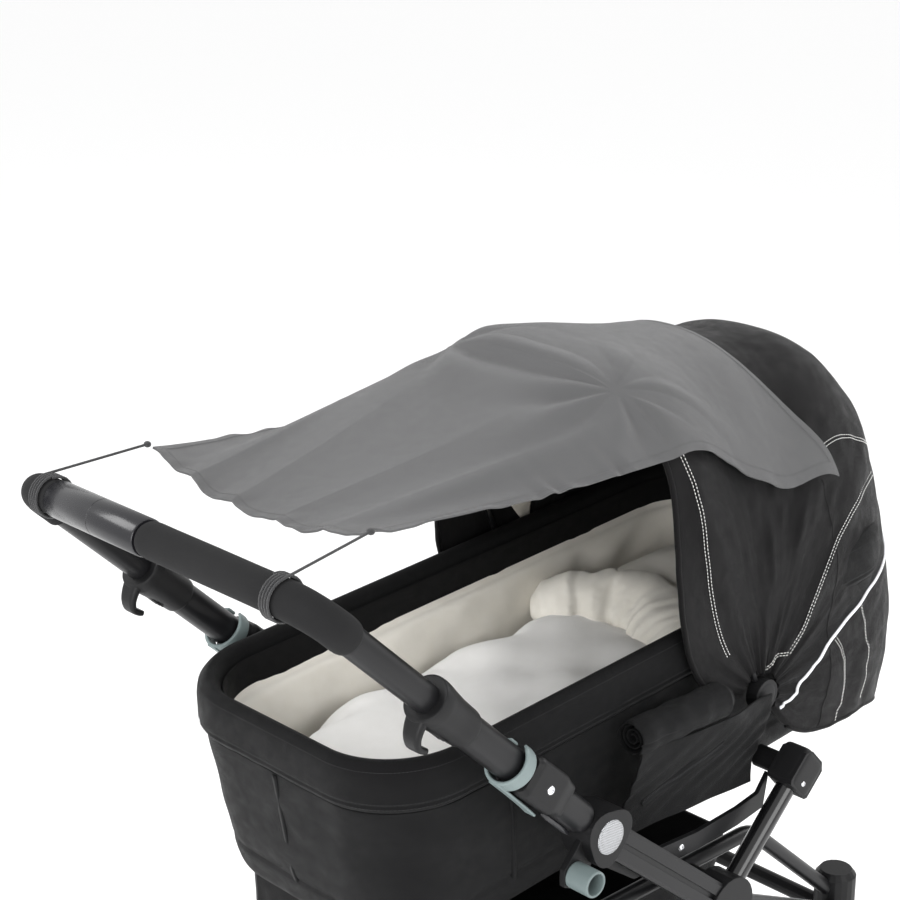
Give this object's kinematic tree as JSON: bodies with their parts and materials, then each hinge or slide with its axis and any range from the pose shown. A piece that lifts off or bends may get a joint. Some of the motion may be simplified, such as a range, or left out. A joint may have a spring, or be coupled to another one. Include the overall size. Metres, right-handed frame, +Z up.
{
  "type": "baby stroller",
  "caption": "Carrycot stroller with telescopic handle, crossed side frame, folding hood, tied sun sail, basket and swivelling front wheels.",
  "frame": {"origin": "on the floor under the middle of the bounding box, measured without the tie cords", "axes": "+Y the way the stroller is pushed, +X its right-hand side, +Z up"},
  "size_m": [0.624, 1.1198, 1.1808],
  "materials": {
    "black_paint": "satin black powder coat",
    "gloss_tube": "gloss black enamel",
    "black_plastic": "fine-grained black moulding",
    "gloss_plastic": "polished dark grey",
    "grey_plastic": "light grey moulding",
    "reflector": "honeycomb reflector",
    "foam": "closed-cell foam grip",
    "tyre": "matt black rubber",
    "rim": "satin grey",
    "cot_fabric": "black woven polyester",
    "lining": "cream cotton",
    "hood_fabric": "black water-repellent weave",
    "sail_fabric": "mid-grey plain weave",
    "cord": "braided dark cord"
  },
  "bodies": {
    "chassis": {"outer_tube_near": "black_paint", "push_tube_near": "black_paint", "front_leg_near": "black_paint", "side_rail_near": "black_paint", "cross_tube_near": "gloss_tube", "latch_housing_near": "black_plastic", "hub_near": "black_plastic", "x_joint_near": "black_plastic", "cot_bracket_near": "black_plastic", "accessory_socket_near": "grey_plastic", "reflector_near": "reflector", "side_pocket_near": "cot_fabric", "outer_tube_far": "black_paint", "push_tube_far": "black_paint", "front_leg_far": "black_paint", "side_rail_far": "black_paint", "cross_tube_far": "gloss_tube", "latch_housing_far": "black_plastic", "hub_far": "black_plastic", "x_joint_far": "black_plastic", "cot_bracket_far": "black_plastic", "accessory_socket_far": "grey_plastic", "reflector_far": "reflector", "side_pocket_far": "cot_fabric", "rear_axle": "black_paint", "basket_frame": "black_paint", "front_beam": "black_plastic", "cot_shell": "cot_fabric", "cot_rim": "cot_fabric", "basket": "cot_fabric", "cot_mattress": "lining", "hood_rear": "hood_fabric", "sun_sail": "sail_fabric"},
    "handle": {"handle_tube": "black_paint", "grip_foam_near": "foam", "grip_foam_far": "foam", "grip_sleeve": "gloss_plastic", "tie_cord_near": "cord", "tie_cord_far": "cord"},
    "hood": {"hood_front": "hood_fabric", "hood_bow": "black_paint", "hood_pivot_near": "black_plastic", "hood_pivot_far": "black_plastic"},
    "brake": {"brake_pedal": "grey_plastic"},
    "trigger_near": {"trigger_collar_near": "black_plastic"},
    "latch_near": {"latch_lever_near": "grey_plastic"},
    "button_near": {"release_button_near": "grey_plastic"},
    "caster_near": {"caster_fork_near": "black_plastic"},
    "front_wheel_near": {"front_wheel_near_tyre": "tyre", "front_wheel_near_rim": "rim"},
    "rear_wheel_near": {"rear_wheel_near_tyre": "tyre", "rear_wheel_near_rim": "rim"},
    "trigger_far": {"trigger_collar_far": "black_plastic"},
    "latch_far": {"latch_lever_far": "grey_plastic"},
    "button_far": {"release_button_far": "grey_plastic"},
    "caster_far": {"caster_fork_far": "black_plastic"},
    "front_wheel_far": {"front_wheel_far_tyre": "tyre", "front_wheel_far_rim": "rim"},
    "rear_wheel_far": {"rear_wheel_far_tyre": "tyre", "rear_wheel_far_rim": "rim"}
  },
  "joints": [
    {"name": "handle_telescope", "type": "slide", "parent": "chassis", "child": "handle", "axis": [0, -0.7236, 0.6902], "range_m": [-0.09, 0], "deforming": ["tie_cord_near", "tie_cord_far"]},
    {"name": "hood_fold", "type": "hinge", "parent": "chassis", "child": "hood", "pos_m": [0, 0.176, 0.735], "axis": [-1, 0, 0], "range_deg": [0, 35], "deforming": ["hood_front", "sun_sail"]},
    {"name": "brake_press", "type": "hinge", "parent": "chassis", "child": "brake", "pos_m": [0, -0.306, 0.15], "axis": [1, 0, 0], "range_deg": [0, 20]},
    {"name": "trigger_pull_near", "type": "slide", "parent": "chassis", "child": "trigger_near", "axis": [0, -0.7236, 0.6902], "range_m": [0, 0.008], "stiffness_N_per_m": 900, "springref_m": -0.004},
    {"name": "latch_release_near", "type": "hinge", "parent": "chassis", "child": "latch_near", "pos_m": [0.237, -0.2811, 0.81499], "axis": [-1, 0, 0], "range_deg": [0, 10], "stiffness_Nm_per_rad": 0.6, "springref_deg": -8.59},
    {"name": "bracket_release_near", "type": "slide", "parent": "chassis", "child": "button_near", "axis": [0, -0.685, 0.7285], "range_m": [0, 0.003], "stiffness_N_per_m": 500, "springref_m": -0.002},
    {"name": "caster_swivel_near", "type": "hinge", "parent": "chassis", "child": "caster_near", "pos_m": [0.18, 0.388, 0.314], "axis": [0, 0, 1], "continuous": true},
    {"name": "front_wheel_spin_near", "type": "hinge", "parent": "caster_near", "child": "front_wheel_near", "pos_m": [0.18, 0.343, 0.138], "axis": [1, 0, 0], "continuous": true},
    {"name": "rear_wheel_spin_near", "type": "hinge", "parent": "chassis", "child": "rear_wheel_near", "pos_m": [0.286, -0.306, 0.15], "axis": [1, 0, 0], "continuous": true},
    {"name": "trigger_pull_far", "type": "slide", "parent": "chassis", "child": "trigger_far", "axis": [0, -0.7236, 0.6902], "range_m": [0, 0.008], "stiffness_N_per_m": 900, "springref_m": -0.004},
    {"name": "latch_release_far", "type": "hinge", "parent": "chassis", "child": "latch_far", "pos_m": [-0.237, -0.2811, 0.81499], "axis": [-1, 0, 0], "range_deg": [0, 10], "stiffness_Nm_per_rad": 0.6, "springref_deg": -8.59},
    {"name": "bracket_release_far", "type": "slide", "parent": "chassis", "child": "button_far", "axis": [0, -0.685, 0.7285], "range_m": [0, 0.003], "stiffness_N_per_m": 500, "springref_m": -0.002},
    {"name": "caster_swivel_far", "type": "hinge", "parent": "chassis", "child": "caster_far", "pos_m": [-0.18, 0.388, 0.314], "axis": [0, 0, 1], "continuous": true},
    {"name": "front_wheel_spin_far", "type": "hinge", "parent": "caster_far", "child": "front_wheel_far", "pos_m": [-0.18, 0.343, 0.138], "axis": [1, 0, 0], "continuous": true},
    {"name": "rear_wheel_spin_far", "type": "hinge", "parent": "chassis", "child": "rear_wheel_far", "pos_m": [-0.286, -0.306, 0.15], "axis": [1, 0, 0], "continuous": true}
  ]
}
